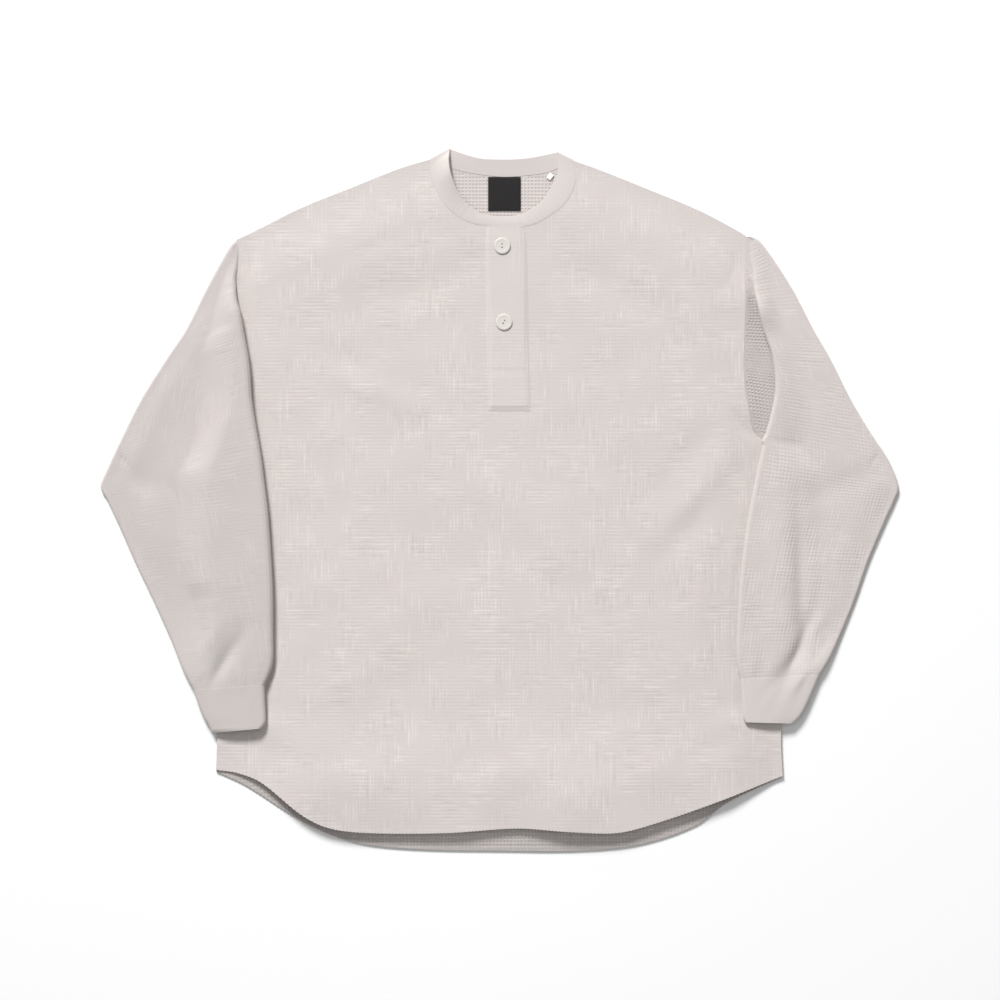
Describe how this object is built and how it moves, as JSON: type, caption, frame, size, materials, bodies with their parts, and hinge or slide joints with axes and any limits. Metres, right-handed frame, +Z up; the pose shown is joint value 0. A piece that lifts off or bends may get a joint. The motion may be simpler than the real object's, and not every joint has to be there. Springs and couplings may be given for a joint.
{
  "type": "thermal top laid flat",
  "caption": "Long-sleeved waffle-knit thermal top with a rib neck band, buttoned neck placket, rib cuffs and a curved hem, laid flat front up.",
  "frame": {"origin": "on the surface that the garment lies on, under the middle of its bounding box", "axes": "+Z up out of the front panel, +Y towards the neck, +X to the right as seen from above"},
  "size_m": [0.9178, 0.8099, 0.0134],
  "materials": {
    "waffle_knit": "matte off-white waffle-knit cotton",
    "rib_knit": "matte off-white fine rib",
    "shell_button": "satin pale shell",
    "black_tape": "matte woven tape, bare",
    "white_tape": "satin woven tape, bare"
  },
  "bodies": {
    "root": {"back_panel": "waffle_knit", "front_panel": "waffle_knit", "sleeve_left": "waffle_knit", "sleeve_right": "waffle_knit", "cuff_left": "rib_knit", "cuff_right": "rib_knit", "neck_band": "rib_knit", "placket": "waffle_knit", "neck_label": "black_tape", "care_label": "white_tape", "button_upper": "shell_button", "button_lower": "shell_button"}
  },
  "joints": []
}
